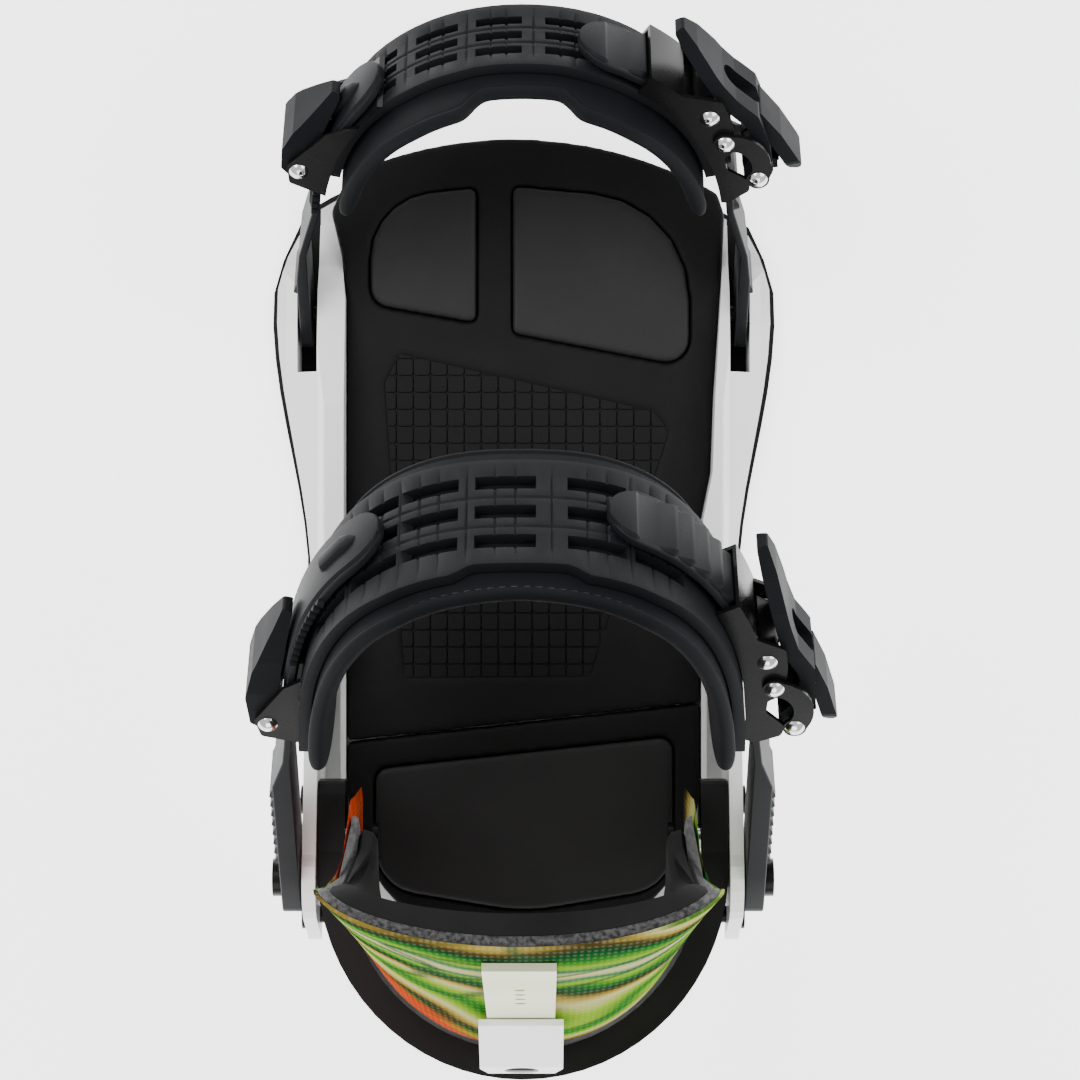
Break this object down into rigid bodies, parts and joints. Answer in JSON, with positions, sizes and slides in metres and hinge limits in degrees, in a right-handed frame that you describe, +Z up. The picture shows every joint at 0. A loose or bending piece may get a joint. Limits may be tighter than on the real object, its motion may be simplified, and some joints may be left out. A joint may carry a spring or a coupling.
{
  "type": "snowboard binding",
  "caption": "Strap-in snowboard binding: white baseplate on a turning disc, cushioned footbed, heel hoop, folding highback, and ankle and toe straps with ratchet buckles.",
  "frame": {"origin": "centre of the mounting disc's four-hole pattern, on the face that meets the board", "axes": "+Z up from the board, +Y towards the toes, +X to the right looking down with the toes away"},
  "size_m": [0.1625, 0.303, 0.25],
  "materials": {
    "white_nylon": "satin moulded",
    "pad_rubber": "matt",
    "disc_nylon": "satin",
    "footbed_foam": "matt foam",
    "cushion_rubber": "smooth matt",
    "black_nylon": "satin moulded",
    "dark_steel": "black coated",
    "highback_print": "glossy multicolour abstract print",
    "grey_felt": "striated felt",
    "black_foam": "fabric faced foam",
    "bright_steel": "bright",
    "clear_track": "milky translucent",
    "black_screw": "black coated",
    "strap_shell": "matt moulded",
    "strap_pad": "soft matt",
    "ladder_plastic": "satin",
    "buckle_metal": "gloss black",
    "lever_plastic": "satin"
  },
  "bodies": {
    "chassis": {"base_pad": "pad_rubber", "chassis": "white_nylon", "footbed_front": "footbed_foam", "footbed_heel": "footbed_foam", "toe_pad_small": "cushion_rubber", "toe_pad_large": "cushion_rubber", "heel_pad": "cushion_rubber", "heel_hoop": "black_nylon", "hoop_screws": "dark_steel", "highback_pivots": "dark_steel", "pivot_spacers": "bright_steel", "ankle_bolts": "dark_steel", "toe_bolts": "dark_steel"},
    "mounting_disc": {"mounting_disc": "disc_nylon"},
    "highback": {"highback_shell": "highback_print", "highback_felt": "grey_felt", "highback_foam": "black_foam", "lean_track": "clear_track"},
    "lean_block": {"lean_block": "white_nylon", "lean_screw": "black_screw"},
    "ankle_strap": {"ankle_shell": "strap_shell", "ankle_pad": "strap_pad", "ankle_ladder_right": "ladder_plastic", "ankle_ladder_left": "ladder_plastic", "ankle_ratchet_frame": "buckle_metal", "ankle_ratchet_rivets": "bright_steel", "ankle_pawl_spring": "bright_steel", "ankle_adjuster_bracket": "buckle_metal", "ankle_adjuster_pin": "bright_steel"},
    "ankle_link": {"ankle_ratchet_link": "buckle_metal", "ankle_lever_rivet": "bright_steel"},
    "ankle_lever": {"ankle_ratchet_lever": "lever_plastic"},
    "ankle_pawl": {"ankle_ratchet_pawl": "buckle_metal"},
    "ankle_adjuster": {"ankle_adjuster_lever": "lever_plastic"},
    "toe_strap": {"toe_shell": "strap_shell", "toe_pad": "strap_pad", "toe_ladder_right": "ladder_plastic", "toe_ladder_left": "ladder_plastic", "toe_ratchet_frame": "buckle_metal", "toe_ratchet_rivets": "bright_steel", "toe_pawl_spring": "bright_steel", "toe_adjuster_bracket": "buckle_metal", "toe_adjuster_pin": "bright_steel"},
    "toe_link": {"toe_ratchet_link": "buckle_metal", "toe_lever_rivet": "bright_steel"},
    "toe_lever": {"toe_ratchet_lever": "lever_plastic"},
    "toe_pawl": {"toe_ratchet_pawl": "buckle_metal"},
    "toe_adjuster": {"toe_adjuster_lever": "lever_plastic"}
  },
  "joints": [
    {"name": "disc_turn", "type": "hinge", "parent": "chassis", "child": "mounting_disc", "pos_m": [0, 0, 0], "axis": [0, 0, 1], "continuous": true},
    {"name": "highback_fold", "type": "hinge", "parent": "chassis", "child": "highback", "pos_m": [0, -0.088, 0.047], "axis": [-1, 0, 0], "range_deg": [0, 15]},
    {"name": "lean_slide", "type": "slide", "parent": "highback", "child": "lean_block", "axis": [0, 0.2696, 0.963], "range_m": [0, 0.012]},
    {"name": "ankle_swing", "type": "hinge", "parent": "chassis", "child": "ankle_strap", "pos_m": [0, -0.098, 0.047], "axis": [1, 0, 0], "range_deg": [-6, 4]},
    {"name": "ankle_link", "type": "hinge", "parent": "ankle_strap", "child": "ankle_link", "pos_m": [0.0677, -0.03096, 0.11174], "axis": [0, -0.6947, 0.7193], "range_deg": [0, 10]},
    {"name": "ankle_lever", "type": "hinge", "parent": "ankle_link", "child": "ankle_lever", "pos_m": [0.074, -0.04175, 0.10132], "axis": [0, 0.6947, -0.7193], "range_deg": [0, 50]},
    {"name": "ankle_pawl", "type": "hinge", "parent": "ankle_strap", "child": "ankle_pawl", "pos_m": [0.0655, -0.02448, 0.11799], "axis": [0, 0.6947, -0.7193], "range_deg": [0, 6], "stiffness_Nm_per_rad": 0.2},
    {"name": "ankle_adjuster", "type": "hinge", "parent": "ankle_strap", "child": "ankle_adjuster", "pos_m": [-0.069, -0.04189, 0.10118], "axis": [0, -0.6947, 0.7193], "range_deg": [0, 50]},
    {"name": "toe_swing", "type": "hinge", "parent": "chassis", "child": "toe_strap", "pos_m": [0, 0.068, 0.0145], "axis": [1, 0, 0], "range_deg": [-5, 5]},
    {"name": "toe_link", "type": "hinge", "parent": "toe_strap", "child": "toe_link", "pos_m": [0.05675, 0.12057, 0.07087], "axis": [0, -0.7314, 0.682], "range_deg": [0, 10]},
    {"name": "toe_lever", "type": "hinge", "parent": "toe_link", "child": "toe_lever", "pos_m": [0.06672, 0.1118, 0.06147], "axis": [0, 0.7314, -0.682], "range_deg": [0, 50]},
    {"name": "toe_pawl", "type": "hinge", "parent": "toe_strap", "child": "toe_pawl", "pos_m": [0.0523, 0.12611, 0.07681], "axis": [0, 0.7314, -0.682], "range_deg": [0, 6], "stiffness_Nm_per_rad": 0.2},
    {"name": "toe_adjuster", "type": "hinge", "parent": "toe_strap", "child": "toe_adjuster", "pos_m": [-0.0635, 0.11301, 0.06277], "axis": [0, -0.7314, 0.682], "range_deg": [0, 50]}
  ],
  "couplings": [
    {"joint": "ankle_link", "follows": "ankle_lever", "ratio": 0.2},
    {"joint": "toe_link", "follows": "toe_lever", "ratio": 0.2}
  ]
}
